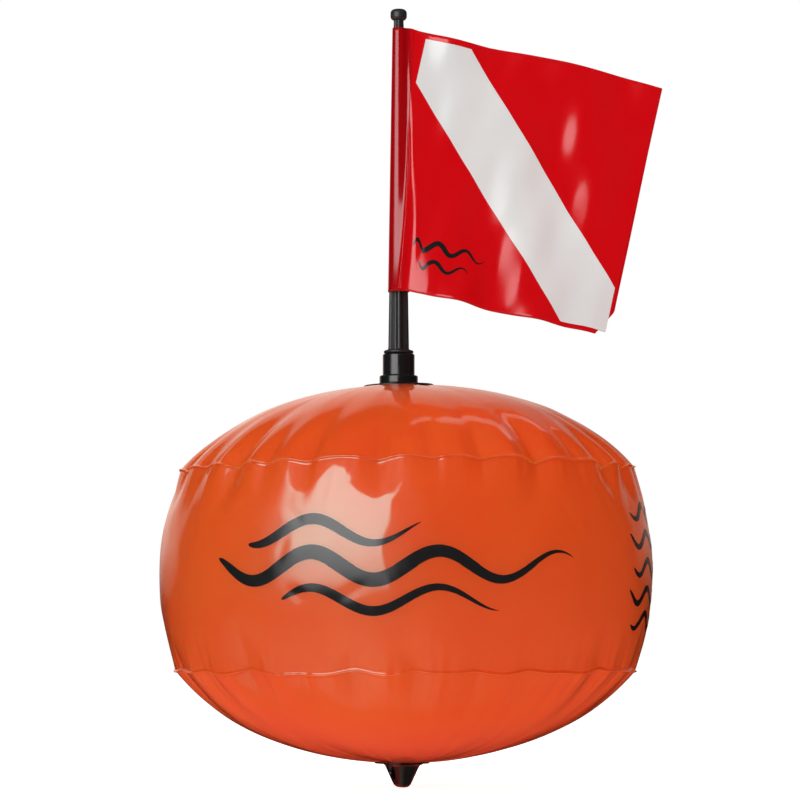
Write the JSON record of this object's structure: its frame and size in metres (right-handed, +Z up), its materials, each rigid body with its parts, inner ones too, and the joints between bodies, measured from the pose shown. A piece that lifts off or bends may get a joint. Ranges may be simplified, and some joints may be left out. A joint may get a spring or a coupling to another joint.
{
  "type": "dive buoy",
  "caption": "Round inflated surface float with a puckered band, a ribbed mast flying a diver-down flag, and a lug underneath for the float line.",
  "frame": {"origin": "centre of the eye in the lug under the float, where the float line is tied", "axes": "+Z up along the mast, +X the way the flag flies, -Y towards the face that the picture shows"},
  "size_m": [0.3728, 0.362, 0.5756],
  "materials": {
    "orange_film": "glossy welded PVC film",
    "black_moulding": "glossy moulded plastic",
    "mast_moulding": "satin moulded plastic",
    "red_film": "smooth vinyl film",
    "white_film": "smooth vinyl film"
  },
  "bodies": {
    "root": {"float_body": "orange_film", "mast_socket": "black_moulding", "mast": "mast_moulding", "flag_sheet": "red_film", "flag_stripe_front": "white_film", "flag_stripe_back": "white_film", "tow_lug": "black_moulding", "valve_base": "orange_film", "valve_plug": "orange_film"}
  },
  "joints": []
}
